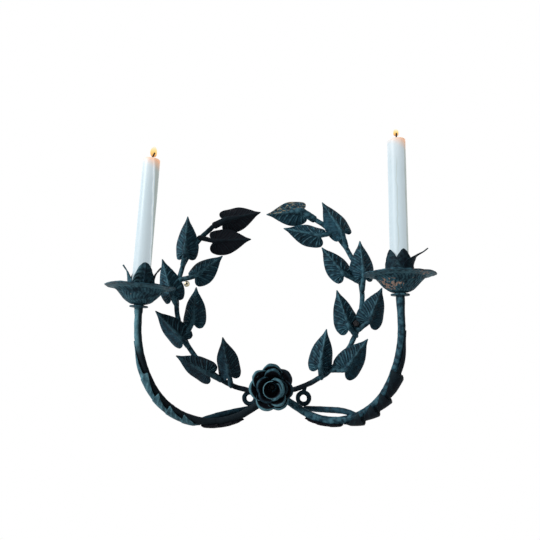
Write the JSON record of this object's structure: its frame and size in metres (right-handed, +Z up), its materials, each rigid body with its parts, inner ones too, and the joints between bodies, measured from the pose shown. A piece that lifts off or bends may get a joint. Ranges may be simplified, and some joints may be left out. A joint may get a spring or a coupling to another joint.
{
  "type": "wall sconce candle holder",
  "caption": "Wrought wall sconce: a leaf wreath with a rose at its foot and curved arms that carry candles in petal cups over drip pans.",
  "frame": {"origin": "on the wall plane, below the middle of the wreath and level with the two hanging eyes", "axes": "+Z up, +Y into the wall, +X to the right as seen from the room"},
  "size_m": [0.3983, 0.1165, 0.3553],
  "materials": {
    "painted_iron": "satin dark blue-green paint with worn edges",
    "worn_iron": "the same paint with coppery worn spots",
    "bare_steel": "dull",
    "brass_screw": "polished",
    "dark_screw": "blackened",
    "candle_wax": "pale blue-white wax",
    "candle_wick": "burnt"
  },
  "bodies": {
    "sconce": {"centre_boss": "painted_iron", "leaf_left_1": "painted_iron", "leaf_left_2": "painted_iron", "leaf_left_3": "painted_iron", "leaf_left_4": "painted_iron", "leaf_left_5": "painted_iron", "leaf_left_6": "painted_iron", "leaf_left_7": "painted_iron", "leaf_left_8": "painted_iron", "leaf_left_9": "painted_iron", "leaf_right_1": "painted_iron", "leaf_right_2": "painted_iron", "leaf_right_3": "painted_iron", "leaf_right_4": "painted_iron", "leaf_right_5": "painted_iron", "leaf_right_6": "painted_iron", "leaf_right_7": "painted_iron", "leaf_right_8": "painted_iron", "leaf_right_9": "painted_iron", "left_arm": "painted_iron", "left_arm_leaf_lower": "painted_iron", "left_arm_leaf_upper": "painted_iron", "left_calyx": "worn_iron", "left_candle_socket": "bare_steel", "left_collar": "worn_iron", "left_drip_pan": "worn_iron", "left_hanging_eye": "painted_iron", "left_socket_screw": "bare_steel", "left_stay": "painted_iron", "left_wall_screw": "brass_screw", "left_wreath_stem": "painted_iron", "right_arm": "painted_iron", "right_arm_leaf_lower": "painted_iron", "right_arm_leaf_upper": "painted_iron", "right_calyx": "worn_iron", "right_candle_socket": "bare_steel", "right_collar": "worn_iron", "right_drip_pan": "worn_iron", "right_hanging_eye": "painted_iron", "right_socket_screw": "bare_steel", "right_stay": "painted_iron", "right_wall_screw": "dark_screw", "right_wreath_stem": "painted_iron", "rose_inner_bud": "painted_iron", "rose_middle_petals": "painted_iron", "rose_outer_petals": "painted_iron", "rose_rivet": "painted_iron"},
    "left_candle_body": {"left_candle": "candle_wax", "left_wick": "candle_wick"},
    "right_candle_body": {"right_candle": "candle_wax", "right_wick": "candle_wick"}
  },
  "joints": [
    {"name": "left_candle_lift", "type": "slide", "parent": "sconce", "child": "left_candle_body", "axis": [0.0436, 0, 0.999], "range_m": [0, 0.07]},
    {"name": "right_candle_lift", "type": "slide", "parent": "sconce", "child": "right_candle_body", "axis": [0.0192, 0, 0.9998], "range_m": [0, 0.07]}
  ]
}
